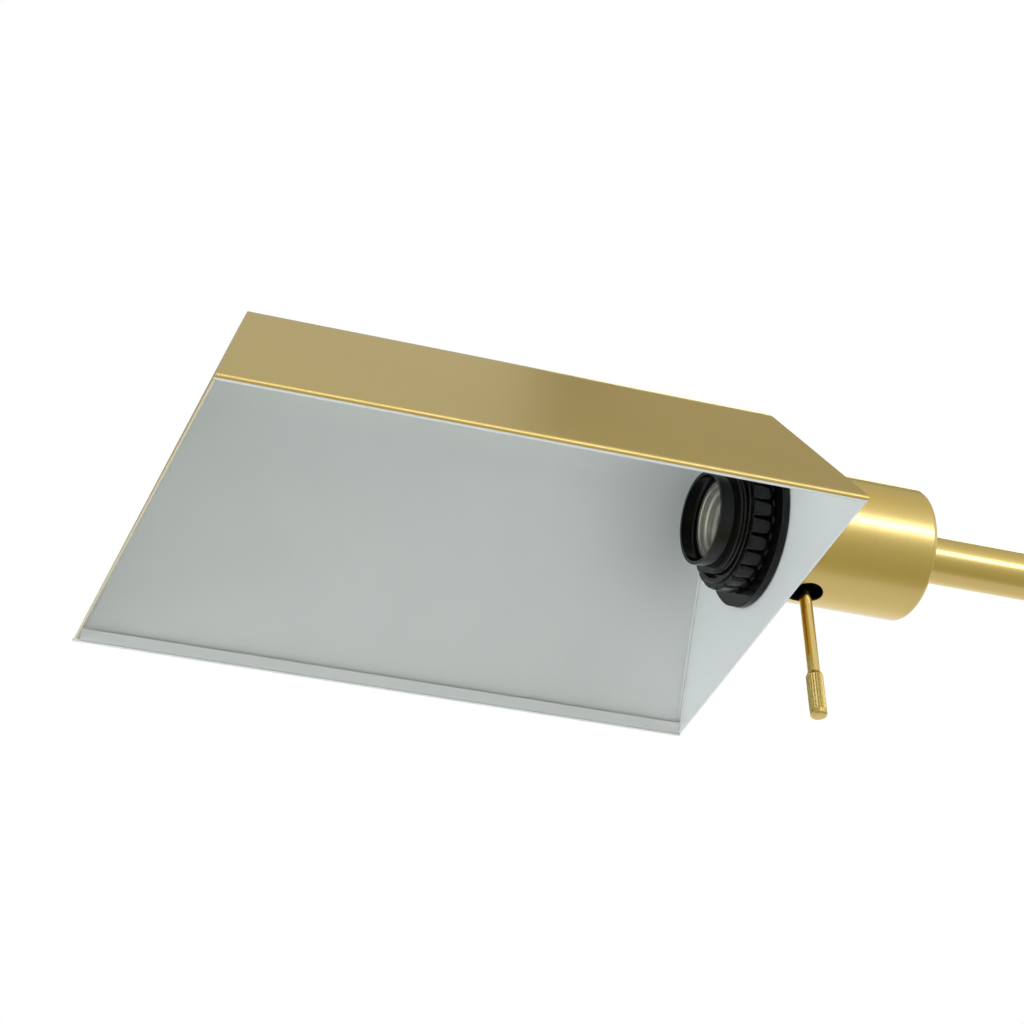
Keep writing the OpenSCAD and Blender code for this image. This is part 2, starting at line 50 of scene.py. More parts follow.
# Felt pad
# A disc of dark wool felt, die-cut and glued under the iron weight so that the lamp stands softly.
# Its cut edge is rounded by handling, and its face shows matted fibres.
def linear(hex_colour):
    """An sRGB hex colour as the linear RGBA that a shader takes."""
    parts = [int(hex_colour[i:i + 2], 16) / 255 for i in (1, 3, 5)]
    return [p / 12.92 if p <= 0.04045 else ((p + 0.055) / 1.055) ** 2.4 for p in parts] + [1.0]


def wire(tree, node, sockets):
    """Gives each named socket of a node its value, or a link where the value is another node's output."""
    for key, value in sockets.items():
        socket = next(s for s in node.inputs if key in (s.identifier, s.name))
        if isinstance(value, bpy.types.NodeSocket):
            tree.links.new(value, socket)
        else:
            socket.default_value = value


def add_node(tree, kind, sockets, **settings):
    """Adds a shader node with its settings and wires its sockets."""
    node = tree.nodes.new("ShaderNode" + kind)
    for key, value in settings.items():
        setattr(node, key, value)
    wire(tree, node, sockets)
    return node


def start_material(name):
    """A new material, with its node tree, its Principled shader and the piece's Object coordinates."""
    material = bpy.data.materials.new(name)
    material.use_nodes = True
    tree = material.node_tree
    coords = add_node(tree, "TexCoord", {})
    return material, tree, tree.nodes["Principled BSDF"], coords.outputs["Object"]


def extrude(step):
    """Extrudes what is selected by a step, in edit mode."""
    bpy.ops.mesh.extrude_region_move(TRANSFORM_OT_translate={"value": step})


def fix_place():
    """Moves the selected piece's place, turn and scale into its mesh, and leaves its object at the origin."""
    bpy.ops.object.transform_apply(location=True, rotation=True, scale=True)


def close_up():
    """Merges points that fall together, turns the faces outwards, and leaves edit mode."""
    bpy.ops.mesh.select_all(action="SELECT")
    bpy.ops.mesh.remove_doubles(threshold=1e-6)
    bpy.ops.mesh.normals_make_consistent(inside=False)
    bpy.ops.object.mode_set(mode="OBJECT")
    fix_place()


def turned(name, outline, segments=96, capped=False):
    """Draws the (radius, height) points of an outline round the Z axis, ring by ring, as on a lathe.
    A capped outline is closed by a disc at each end; any other joins its last ring to its first."""
    bpy.ops.object.select_all(action="DESELECT")
    fill = "NGON" if capped else "NOTHING"
    bpy.ops.mesh.primitive_circle_add(vertices=segments, radius=outline[0][0], fill_type=fill,
                                      location=(0, 0, outline[0][1]))
    piece = bpy.context.object
    piece.name = piece.data.name = name
    bpy.ops.object.mode_set(mode="EDIT")
    path = outline if capped else outline + outline[:1]
    for (r0, z0), (r1, z1) in zip(path, path[1:]):
        extrude((0, 0, z1 - z0))
        bpy.ops.transform.resize(value=(r1 / r0, r1 / r0, 1), center_override=(0, 0, z1))
    close_up()
    return piece


def modify(piece, kind, **settings):
    """Adds a modifier with its settings to the active piece, and applies it."""
    modifier = piece.modifiers.new(kind, kind)
    for key, value in settings.items():
        setattr(modifier, key, value)
    bpy.ops.object.modifier_apply(modifier=modifier.name)


def soften(piece, radius, segments=3, angle=32):
    """Rounds the edges sharper than the angle, where a radius is given, and shades the rest smooth."""
    limit = math.radians(angle)
    if radius:
        modify(piece, "BEVEL", width=radius, segments=segments, limit_method="ANGLE", angle_limit=limit)
    bpy.ops.object.shade_smooth_by_angle(angle=limit)
    modify(piece, "WEIGHTED_NORMAL", keep_sharp=True)


def settle(piece, body, slot, node, *materials):
    """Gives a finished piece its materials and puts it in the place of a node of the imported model."""
    for material in materials:
        piece.data.materials.append(material)
    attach(piece, body)
    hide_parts(node)


# dark wool felt: quite matt, with matted fibres and a faint sheen at grazing angles
felt, tree, shader, coords = start_material("dark wool felt")
fibres = add_node(tree, "TexNoise", {"Vector": coords, "Scale": 1 / (0.7 * MM), "Detail": 6.0,
                                     "Roughness": 0.7})
mottle = add_node(tree, "Mix", {"Factor_Float": fibres.outputs["Fac"], "A_Color": linear("#26221f"),
                                "B_Color": linear("#4a443f")}, data_type="RGBA")
nap = add_node(tree, "Bump", {"Height": fibres.outputs["Fac"], "Strength": 0.6, "Distance": 0.3 * MM})
wire(tree, shader, {"Base Color": mottle.outputs[2], "Normal": nap.outputs["Normal"], "Roughness": 0.95,
                    "Sheen Weight": 0.3})

low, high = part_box("base_pad")
felt_pad = turned("felt_pad", [(high.x, low.z), (high.x, high.z)], capped=True)
soften(felt_pad, 0.8 * MM)
settle(felt_pad, "stand", "felt", "base_pad", felt)


# Iron weight
# A grey iron casting with its underside machined flat, held in the cover by the stud's nut.
# It can't be seen once the pad and the cover are on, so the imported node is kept.
def dress(material, *nodes):
    """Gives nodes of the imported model, kept as they are, their material."""
    for node in nodes:
        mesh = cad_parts[node].data
        mesh.materials.clear()
        mesh.materials.append(material)


# grey cast iron: dark and matt, with the grain of the sand mould
iron, tree, shader, coords = start_material("grey cast iron")
sand = add_node(tree, "TexNoise", {"Vector": coords, "Scale": 1 / (1.2 * MM), "Detail": 5.0})
grain = add_node(tree, "Bump", {"Height": sand.outputs["Fac"], "Strength": 0.5, "Distance": 0.3 * MM})
tone = add_node(tree, "Mix", {"Factor_Float": sand.outputs["Fac"], "A_Color": linear("#3b3b3a"),
                              "B_Color": linear("#565553")}, data_type="RGBA")
wire(tree, shader, {"Base Color": tone.outputs[2], "Normal": grain.outputs["Normal"], "Metallic": 0.6,
                    "Roughness": 0.75})
dress(iron, "base_weight")


# Base cover
# A shallow dish spun from brass sheet over the iron weight, brushed on the lathe while it turned and then
# lacquered. The stud clamps it between the foot and the weight, and the cord leaves through its wall.
def arc(centre, radius, start, end, steps):
    """Points of an arc in the outline's plane, angles in degrees from the radius direction."""
    angles = [math.radians(start + (end - start) * i / steps) for i in range(steps + 1)]
    return [(centre[0] + radius * math.cos(a), centre[1] + radius * math.sin(a)) for a in angles]


def place(piece, location, turn=(0, 0, 0)):
    """Turns and moves a piece that was made at the origin to its place."""
    piece.rotation_euler = turn
    piece.location = location
    fix_place()


def drill(piece, radius, start, end, origin, turn, segments=96):
    """Drills a round hole into a piece, from start to end along the turned Z axis of an origin."""
    hole = turned("hole", [(radius, start), (radius, end)], segments, capped=True)
    place(hole, origin, turn)
    bpy.ops.object.select_all(action="DESELECT")
    piece.select_set(True)
    bpy.context.view_layer.objects.active = piece
    modify(piece, "BOOLEAN", operation="DIFFERENCE", object=hole)
    bpy.data.objects.remove(hole)


def brass(name, line, roughness, depth, follow=None):
    """Lacquered brass. line is the size of one line of the finish along X, Y and Z, and follow(tree, coords)
    gives the coordinates to draw it on where it isn't straight. The lines have slightly different tones and
    shine, over a slow drift of tone in the metal."""
    material, tree, shader, coords = start_material(name)
    course = follow(tree, coords) if follow else coords
    spaced = add_node(tree, "Mapping", {"Vector": course, "Scale": [1 / size for size in line]})
    lines = add_node(tree, "TexNoise", {"Vector": spaced.outputs[0], "Scale": 1.0, "Detail": 3.0,
                                        "Roughness": 0.6})
    drift = add_node(tree, "TexNoise", {"Vector": coords, "Scale": 1 / (60 * MM), "Detail": 2.0})
    tone = add_node(tree, "Mix", {"Factor_Float": lines.outputs["Fac"], "A_Color": linear("#c9ae62"),
                                  "B_Color": linear("#d2b96c")}, data_type="RGBA")
    slow = add_node(tree, "MapRange", {"Value": drift.outputs["Fac"], "From Min": 0.3, "From Max": 0.7,
                                       "To Min": 0.0, "To Max": 0.25})
    aged = add_node(tree, "Mix", {"Factor_Float": slow.outputs["Result"], "A_Color": tone.outputs[2],
                                  "B_Color": linear("#c0a35e")}, data_type="RGBA")
    shine = add_node(tree, "MapRange", {"Value": lines.outputs["Fac"], "From Min": 0.3, "From Max": 0.7,
                                        "To Min": roughness - depth / 5, "To Max": roughness + depth / 5})
    scores = add_node(tree, "Bump", {"Height": lines.outputs["Fac"], "Strength": depth,
                                     "Distance": 0.03 * MM})
    wire(tree, shader, {"Base Color": aged.outputs[2], "Metallic": 1.0, "Roughness": shine.outputs["Result"],
                        "Normal": scores.outputs["Normal"], "Specular Tint": linear("#fcf2bc"),
                        "Coat Weight": 1.0, "Coat Roughness": 0.2})
    return material


def round_pole(tree, coords):
    """Coordinates that are the same all round the pole's axis: the distance from it, and the height."""
    parts = add_node(tree, "SeparateXYZ", {"Vector": coords})
    level = add_node(tree, "CombineXYZ", {"X": parts.outputs["X"], "Y": parts.outputs["Y"]})
    radius = add_node(tree, "VectorMath", {"Vector": level.outputs[0]}, operation="LENGTH")
    return add_node(tree, "CombineXYZ", {"X": radius.outputs["Value"], "Z": parts.outputs["Z"]}).outputs[0]


# spun brass: soft reflections, with rings of the lathe that draw out each highlight; they are 0.4 mm apart,
# which is wider than real ones, so that they show
spun_brass = brass("spun brass", (0.4 * MM, 0.4 * MM, 0.4 * MM), 0.3, 0.25, round_pole)

low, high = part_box("base_cover")
cover_r, cover_top, cover_rim = high.x, high.z, low.z
cover_t, cover_edge_r = 1.2 * MM, 9 * MM
stud_hole_r, cover_flat_r = 5.1 * MM, 40 * MM
edge = (cover_r - cover_edge_r, cover_top - cover_edge_r)
base_cover = turned("spun_base_cover", [(stud_hole_r, cover_top), (cover_flat_r, cover_top)]
                    + arc(edge, cover_edge_r, 90, 0, 12)
                    + [(cover_r, cover_rim), (cover_r - cover_t, cover_rim)]
                    + arc(edge, cover_edge_r - cover_t, 0, 90, 12)
                    + [(stud_hole_r, cover_top - cover_t)], segments=192)
bushing_low, bushing_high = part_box("cord_bushing")
bushing_z = (bushing_low.z + bushing_high.z) / 2
bushing_r = 4.8 * MM
along_x = (0, math.radians(90), 0)
drill(base_cover, bushing_r, -10 * MM, 10 * MM, (cover_r, 0, bushing_z), along_x)
soften(base_cover, 0.3 * MM, 2)
settle(base_cover, "stand", "brushed_brass", "base_cover", spun_brass)


# Base fixings
# A hollow threaded stud of zinc-plated steel with its washer and hexagon nut ties the pole to the weight, and
# a moulded black bushing pressed into the cover's wall keeps the cord off the metal's edge.

# zinc-plated steel: pale grey and half shiny, with the faint mottle of the plating
zinc, tree, shader, coords = start_material("zinc-plated steel")
bloom = add_node(tree, "TexNoise", {"Vector": coords, "Scale": 1 / (4 * MM), "Detail": 4.0})
plating = add_node(tree, "Mix", {"Factor_Float": bloom.outputs["Fac"], "A_Color": linear("#a3a5a2"),
                                 "B_Color": linear("#c2c3be")}, data_type="RGBA")
wire(tree, shader, {"Base Color": plating.outputs[2], "Metallic": 1.0, "Roughness": 0.38})
dress(zinc, "base_stud", "base_washer", "base_nut")

# black phenolic: deep black with the gloss of the mould, and the slight grain of its filler
phenolic, tree, shader, coords = start_material("black phenolic")
filler = add_node(tree, "TexNoise", {"Vector": coords, "Scale": 1 / (0.6 * MM), "Detail": 3.0})
black = add_node(tree, "Mix", {"Factor_Float": filler.outputs["Fac"], "A_Color": linear("#060707"),
                               "B_Color": linear("#0b0c0c")}, data_type="RGBA")
skin = add_node(tree, "Bump", {"Height": filler.outputs["Fac"], "Strength": 0.06, "Distance": 0.05 * MM})
wire(tree, shader, {"Base Color": black.outputs[2], "Roughness": 0.16, "Specular IOR Level": 0.3,
                    "Normal": skin.outputs["Normal"]})

cord_r = 3 * MM
bushing_neck = cover_r - bushing_low.x
bushing_len = bushing_high.x - bushing_low.x
bushing_flange_r = bushing_high.y
bushing = turned("cord_grommet", [
    (cord_r, 0), (bushing_r, 0), (bushing_r, bushing_neck), (bushing_flange_r, bushing_neck),
    (bushing_flange_r, bushing_len), (cord_r, bushing_len)], 48)
place(bushing, (bushing_low.x, 0, bushing_z), along_x)
soften(bushing, 0.5 * MM)
settle(bushing, "stand", "black_phenolic", "cord_bushing", phenolic)


# Pole
# A drawn brass tube, soldered to a plug that the stud screws into, stands in a foot turned from brass bar.
# The tube is brushed along its length and the foot round it; a nylon bush in the top guides the stem.
dress(zinc, "pole_plug")
low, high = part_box("pole_foot")
foot_r, foot_z = high.x, low.z
foot_h, foot_land = high.z - low.z, 3 * MM
pole_low, pole_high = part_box("lower_pole")
pole_r = pole_high.x
pole_bore_r = pole_r - 1.5 * MM
foot_neck_r = pole_r + 4 * MM
foot_top = foot_z + foot_h
hollow = [(foot_r - (foot_r - foot_neck_r) * math.sin(a), foot_top - (foot_h - foot_land) * math.cos(a))
          for a in (math.radians(90 * i / 12) for i in range(13))]
foot = turned("turned_foot", [(pole_r, foot_z), (foot_r, foot_z)] + hollow + [(pole_r, foot_top)], 128)
soften(foot, 0.4 * MM)
settle(foot, "stand", "brushed_brass", "pole_foot", spun_brass)

# drawn brass tube: straight lines of the brushing, so that highlights stay narrow and run along it; they are
# 60 mm long and 0.25 mm wide, which is wider than real ones, so that they show
tube_line = (0.25 * MM, 0.25 * MM, 60 * MM)
tube_brass = brass("drawn brass tube", tube_line, 0.27, 0.2)

pole = turned("pole_tube", [(pole_bore_r, pole_low.z), (pole_r, pole_low.z), (pole_r, pole_high.z),
                            (pole_bore_r, pole_high.z)])
soften(pole, 0.2 * MM, 2)
settle(pole, "stand", "brushed_brass", "lower_pole", tube_brass)

# natural nylon: milky and half matt, slightly uneven in colour
nylon, tree, shader, coords = start_material("natural nylon")
milk = add_node(tree, "TexNoise", {"Vector": coords, "Scale": 1 / (5 * MM), "Detail": 2.0})
cream = add_node(tree, "Mix", {"Factor_Float": milk.outputs["Fac"], "A_Color": linear("#dcd7c9"),
                               "B_Color": linear("#e9e5da")}, data_type="RGBA")
wire(tree, shader, {"Base Color": cream.outputs[2], "Roughness": 0.45})
dress(nylon, "pole_bush")


# Clamp
# A collar turned from brass bar is pressed over the pole's top. A knurled knob on a steel stud presses a
# nylon pad against the stem through the collar's side, and so holds the height and the swing.
def reshape(piece, radius_at):
    """Moves each vertex of a turned piece to radius_at(radius, turn, height); turn counts whole turns."""
    for vertex in piece.data.vertices:
        radius = math.hypot(vertex.co.x, vertex.co.y)
        turn = math.atan2(vertex.co.y, vertex.co.x) / math.tau
        factor = radius_at(radius, turn, vertex.co.z) / radius
        vertex.co.x *= factor
        vertex.co.y *= factor


def groove(turn, count):
    """How deep a straight knurl is at that turn: 0 on a crest and 1 at the bottom of a groove."""
    return 1 - abs(2 * (turn * count % 1) - 1)


low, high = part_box("clamp_collar")
collar_r, chamfer = high.y, 1.5 * MM
stem_low, stem_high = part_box("upper_stem")
stem_r = stem_high.y
guide_r = stem_r + 0.3 * MM
bush_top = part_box("pole_bush")[1].z
collar = turned("clamp_collar_turned", [
    (pole_r, low.z), (collar_r - chamfer, low.z), (collar_r, low.z + chamfer), (collar_r, high.z - chamfer),
    (collar_r - chamfer, high.z), (guide_r, high.z), (guide_r, bush_top), (pole_r, bush_top)], 128)
screw_low, screw_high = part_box("clamp_stud")
screw_r, screw_gap = screw_high.y, 0.06 * MM
screw_z = (screw_low.z + screw_high.z) / 2
drill(collar, screw_r + screw_gap, 5 * MM, 25 * MM, (0, 0, screw_z), along_x, 48)
soften(collar, 0.25 * MM, 2)
settle(collar, "stand", "brushed_brass", "clamp_collar", spun_brass)

dress(nylon, "clamp_pad")
screw_pitch, screw_depth = 1 * MM, 0.5 * MM
screw_len = screw_high.x - screw_low.x
steps = 112
rings = [(screw_r, screw_len * i / steps) for i in range(steps + 1)]
screw = turned("clamp_screw_stud", rings, 32, capped=True)
reshape(screw, lambda r, turn, h: r - screw_depth / 2 * (1 - math.cos(math.tau * (h / screw_pitch - turn))))
place(screw, (screw_low.x, 0, screw_z), along_x)
soften(screw, 0, angle=40)
settle(screw, "clamp_screw", "zinc_steel", "clamp_stud", zinc)

# turned brass: brighter than the tubes, with tool lines round the arm's direction; they are 0.3 mm apart,
# which is wider than real ones, so that they show
round_line = (0.3 * MM, 40 * MM, 40 * MM)
turned_brass = brass("turned brass", round_line, 0.24, 0.2)

low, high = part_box("clamp_knob")
knob_r, knob_len = high.y, high.x - low.x
seat = screw_high.x - low.x
knurls, knurl_depth = 36, 0.4 * MM
land_r, land_rise = knob_r - knurl_depth, 0.1 * MM
back, front = 1.4 * MM, knob_len - 1.9 * MM
clamp_knob = turned("clamp_knob_knurled", [
    (screw_r, seat), (screw_r, 0), (knob_r - 1.8 * MM, 0), (land_r, back), (knob_r, back + land_rise),
    (knob_r, front - land_rise), (land_r, front), (knob_r - 1.6 * MM, knob_len - 0.6 * MM),
    (knob_r - 2.4 * MM, knob_len - 0.25 * MM), (knob_r - 5 * MM, knob_len)], knurls * 6, capped=True)
reshape(clamp_knob, lambda r, turn, h: r - knurl_depth * groove(turn, knurls) * (r > knob_r - 0.1 * MM))
place(clamp_knob, (low.x, 0, screw_z), along_x)
soften(clamp_knob, 0, angle=24)
settle(clamp_knob, "clamp_screw", "brushed_brass", "clamp_knob", turned_brass)


# Stem and arm
# One drawn brass tube, bent through a right angle between the upright stem and the level arm, brushed along
# its length. A nylon glider on its lower end slides in the pole.
dress(nylon, "stem_glider")
bend_r, stem_wall = 60 * MM, 1.2 * MM
arm_z = stem_high.z - stem_r
bend_z = arm_z - bend_r
bpy.ops.object.select_all(action="DESELECT")
bpy.ops.mesh.primitive_circle_add(vertices=72, radius=stem_r, location=(0, 0, stem_low.z))
stem = bpy.context.object
stem.name = stem.data.name = "stem_and_arm"
bpy.ops.object.mode_set(mode="EDIT")
for step in range(4):
    extrude((0, 0, (bend_z - stem_low.z) / 4))
bpy.ops.mesh.spin(steps=36, angle=math.radians(90), center=(-bend_r, 0, bend_z), axis=(0, 1, 0))
for step in range(2):
    extrude(((stem_low.x + bend_r) / 2, 0, 0))
close_up()
modify(stem, "SOLIDIFY", thickness=stem_wall)
soften(stem, 0.2 * MM, 2)

# the tube's own coordinates, as if it were straight, so that the brushing follows the bend
straight = stem.data.attributes.new("along_tube", "FLOAT_VECTOR", "POINT")
for index, vertex in enumerate(stem.data.vertices):
    x, y, z = vertex.co
    if z <= bend_z:
        along = (x, y, z)
    elif x <= -bend_r:
        along = (z - arm_z, y, bend_z + bend_r * math.pi / 2 - bend_r - x)
    else:
        turn = math.atan2(z - bend_z, x + bend_r)
        along = (math.hypot(x + bend_r, z - bend_z) - bend_r, y, bend_z + bend_r * turn)
    straight.data[index].vector = along


def along_tube(tree, coords):
    """The tube's own coordinates, in place of the Object ones."""
    return add_node(tree, "Attribute", {}, attribute_name="along_tube").outputs["Vector"]


# bent brass tube: the pole's lines, a little softer, which follow the tube round its bend
bent_brass = brass("bent brass tube", tube_line, 0.29, 0.15, along_tube)
settle(stem, "stem", "brushed_brass", "upper_stem", bent_brass)


# Swivel
# A brass plug soldered in the arm's end carries the hollow steel nipple that the head rolls on, with a stop
# washer and pin, a wave washer for friction and a nut; a fibre washer parts the arm from the cup.
dress(zinc, "stop_pin", "swivel_nipple", "stop_washer", "wave_washer", "swivel_nut")
dress(turned_brass, "arm_plug")

# vulcanised fibre: dark brown and matt, with a cloudy grain
fibre, tree, shader, coords = start_material("vulcanised fibre")
cloud = add_node(tree, "TexNoise", {"Vector": coords, "Scale": 1 / (2 * MM), "Detail": 4.0})
brown = add_node(tree, "Mix", {"Factor_Float": cloud.outputs["Fac"], "A_Color": linear("#4d3a2a"),
                               "B_Color": linear("#6b5138")}, data_type="RGBA")
wire(tree, shader, {"Base Color": brown.outputs[2], "Roughness": 0.7})
dress(fibre, "friction_washer")


# Lampholder cup
# A cup deep-drawn from brass, brushed as it turned, with a rounded back edge and a clear hole for the switch
# rod beneath. A nut on the nipple holds it to the swivel, and its rim presses on the shade's end panel.
dress(zinc, "cup_washer", "cup_nut")
low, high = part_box("socket_cup")
cup_r, cup_len = high.y, high.x - low.x
cup_back = Vector((high.x, 0, arm_z))
cup_wall, cup_back_t, cup_edge_r = 1.2 * MM, 1.5 * MM, 2.5 * MM
nipple_hole_r, cup_flat_r = 4.95 * MM, 10 * MM
along_arm = (0, math.radians(-90), 0)
edge = (cup_r - cup_edge_r, cup_edge_r)
cup = turned("lampholder_cup", [(nipple_hole_r, 0), (cup_flat_r, 0)] + arc(edge, cup_edge_r, -90, 0, 10)
             + [(cup_r, cup_len * i / 6) for i in range(1, 7)] + [(cup_r - cup_wall, cup_len)]
             + arc(edge, cup_edge_r - cup_wall, 0, -90, 6) + [(nipple_hole_r, cup_back_t)], 256)
place(cup, cup_back, along_arm)

rod_low, rod_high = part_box("switch_rod")
switch_origin = ((rod_low.x + rod_high.x) / 2, 0, arm_z)
switch_clock = math.radians(5)
along_switch = (math.pi + switch_clock, 0, 0)
rod_hole_r = 6.75 * MM
drill(cup, rod_hole_r, 15 * MM, 40 * MM, switch_origin, along_switch)
soften(cup, 0.15 * MM, 2)

# brushed brass cup: bright, with the lines of the brushing round it
cup_brass = brass("brushed brass cup", round_line, 0.3, 0.06)
settle(cup, "head", "brushed_brass", "socket_cup", cup_brass)


# Lampholder
# A black phenolic moulding with a fine thread outside for the shade ring, a plain rim, and a mouth over the
# nickel-plated screw shell and centre contact, which are riveted in; brass terminal screws are in its back.
dress(turned_brass, "terminal_screws")
body_low, body_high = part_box("socket_body")
shell_low, shell_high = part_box("screw_shell")
contact_low, contact_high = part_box("centre_contact")
from_back = cup_back.x
hub_start, rim_end = from_back - body_high.x, from_back - body_low.x
shell_floor, shell_front = from_back - shell_high.x, from_back - shell_low.x
contact_floor, contact_top = from_back - contact_high.x, from_back - contact_low.x
shell_r, contact_r = shell_high.y, contact_high.y
holder_r, hub_r, neck_r, rim_r, mouth_r = 21.5 * MM, 9 * MM, 19.75 * MM, 17.6 * MM, 16.3 * MM
hub_bore_r, contact_hole_r, rotor_hole_r = 5 * MM, contact_r + 0.3 * MM, 4.5 * MM
ledge = shell_front - 0.8 * MM
holder_start = hub_start + 9 * MM
hub_bore_end = holder_start - 1 * MM
thread_start, thread_end = cup_len + 0.8 * MM, rim_end - 6.2 * MM
thread_pitch, thread_depth = 1.5 * MM, 0.6 * MM
steps = 84
rings = [(neck_r, cup_len + (thread_end - cup_len) * i / steps) for i in range(steps + 1)]
body = turned("lampholder_body", [
    (hub_bore_r, hub_bore_end), (hub_bore_r, hub_start), (hub_r, hub_start), (hub_r, holder_start),
    (holder_r, holder_start), (holder_r, cup_len)] + rings + [
    (rim_r, thread_end), (rim_r, rim_end), (mouth_r, rim_end), (mouth_r, ledge), (shell_r, ledge),
    (shell_r, shell_floor), (contact_hole_r, shell_floor), (contact_hole_r, contact_floor)], 128, capped=True)


def neck_thread(radius, turn, height):
    """A rounded thread on the neck alone, which runs out at both ends."""
    if abs(radius - neck_r) > 0.05 * MM or not thread_start < height < thread_end:
        return radius
    runout = min(1, (height - thread_start) / (1 * MM), (thread_end - height) / (0.3 * MM))
    wave = 1 - math.cos(math.tau * (height / thread_pitch - turn))
    return radius - thread_depth / 2 * runout * wave


reshape(body, neck_thread)
place(body, cup_back, along_arm)
drill(body, rotor_hole_r, 8 * MM, 30 * MM, switch_origin, along_switch, 48)
soften(body, 0.35 * MM, 3, 40)
settle(body, "head", "black_phenolic", "socket_body", phenolic)

# bright nickel plate: pale and smooth, with light scattered by the fine grain of the rolled metal
nickel, tree, shader, coords = start_material("bright nickel plate")
haze = add_node(tree, "TexNoise", {"Vector": coords, "Scale": 1 / (6 * MM), "Detail": 2.0})
plate = add_node(tree, "Mix", {"Factor_Float": haze.outputs["Fac"], "A_Color": linear("#e4e4de"),
                               "B_Color": linear("#ecece6")}, data_type="RGBA")
shine = add_node(tree, "MapRange", {"Value": haze.outputs["Fac"], "From Min": 0.3, "From Max": 0.7,
                                    "To Min": 0.3, "To Max": 0.34})
wire(tree, shader, {"Base Color": plate.outputs[2], "Metallic": 0.9, "Roughness": shine.outputs["Result"]})

shell_t = 0.4 * MM
shell_bore_r = shell_r - shell_t
shell_pitch, shell_depth = 3.63 * MM, 0.5 * MM
shell_lip_r, lip_end = shell_r + 1.3 * MM, ledge + shell_t
wall_start = shell_floor + shell_t
steps = 90
rises = [wall_start + (ledge - wall_start) * i / steps for i in range(steps + 1)]
shell = turned("rolled_screw_shell", [(contact_hole_r, shell_floor), (shell_r, shell_floor)]
               + [(shell_r, h) for h in rises]
               + [(shell_lip_r, ledge), (shell_lip_r, lip_end), (shell_bore_r + 0.2 * MM, lip_end)]
               + [(shell_bore_r, h) for h in reversed(rises)] + [(contact_hole_r, wall_start)], 96)


def rolled_thread(radius, turn, height):
    """The round lamp thread, rolled inwards, which fades out before the shell's front edge and its floor."""
    if radius < shell_bore_r - 0.1 * MM:
        return radius
    from_front = max(0, (ledge - 1.4 * MM - height) / (1.2 * MM))
    from_floor = max(0, (height - shell_floor) / (2 * MM))
    wave = 0.5 + 0.5 * math.cos(math.tau * ((height - ledge) / shell_pitch - turn))
    return radius - shell_depth * min(1, from_front, from_floor) * wave


reshape(shell, rolled_thread)
place(shell, cup_back, along_arm)
soften(shell, 0, angle=40)
settle(shell, "head", "nickel_plate", "screw_shell", nickel)

rivet_r = contact_r / 2
disc_start, dome_start = contact_top - 1.5 * MM, contact_top - 1 * MM
contact = turned("domed_centre_contact", [
    (rivet_r, contact_floor), (rivet_r, disc_start), (contact_r, disc_start), (contact_r, dome_start),
    (contact_r * 0.7, contact_top - 0.2 * MM), (contact_r * 0.3, contact_top)], 48, capped=True)
place(contact, cup_back, along_arm)
soften(contact, 0.15 * MM, 2)
settle(contact, "head", "brushed_brass", "centre_contact", turned_brass)


# Shade hood
# One brass sheet brushed along its length, folded over a round crown, with both long edges hemmed inwards.
# The outside is lacquered brass; the inside and the hems' inner flaps are sprayed with white enamel.
def flat_sheet(name, width, depth, centre, tilt=(0, 0, 0)):
    """A flat rectangle, width along X and depth along Y before it is tilted about its centre."""
    bpy.ops.object.select_all(action="DESELECT")
    bpy.ops.mesh.primitive_plane_add(size=1, location=centre, rotation=tilt)
    piece = bpy.context.object
    piece.name = piece.data.name = name
    piece.scale = (width, depth, 1)
    fix_place()
    return piece


def select_where(piece, test):
    """Selects the vertices that pass the test, and the edges and faces between them, in edit mode."""
    bpy.ops.mesh.select_all(action="DESELECT")
    mesh = bmesh.from_edit_mesh(piece.data)
    for vertex in mesh.verts:
        vertex.select_set(test(vertex.co))
    mesh.select_flush(True)
    bmesh.update_edit_mesh(piece.data)


# brushed brass sheet: broad soft reflections, drawn out along the shade by its lines; they are 50 mm long and
# 0.3 mm wide, which is wider than real ones, so that they show
sheet_line = (50 * MM, 0.3 * MM, 0.3 * MM)
sheet_brass = brass("brushed brass sheet", sheet_line, 0.36, 0.15)

# bent brass edge: the grain opens in the bend, so that the light on it is softer than on the sheet
hem_brass = brass("bent brass edge", sheet_line, 0.48, 0.1)

# white enamel: satin, with a slight orange-peel from the spray gun
enamel, tree, shader, coords = start_material("white enamel")
peel = add_node(tree, "TexNoise", {"Vector": coords, "Scale": 1 / (1.6 * MM), "Detail": 2.0})
dust = add_node(tree, "TexNoise", {"Vector": coords, "Scale": 1 / (35 * MM), "Detail": 3.0})
white = add_node(tree, "Mix", {"Factor_Float": dust.outputs["Fac"], "A_Color": linear("#e0e5e3"),
                               "B_Color": linear("#e9edeb")}, data_type="RGBA")
bumps = add_node(tree, "Bump", {"Height": peel.outputs["Fac"], "Strength": 0.1, "Distance": 0.05 * MM})
wire(tree, shader, {"Base Color": white.outputs[2], "Roughness": 0.34, "Normal": bumps.outputs["Normal"]})

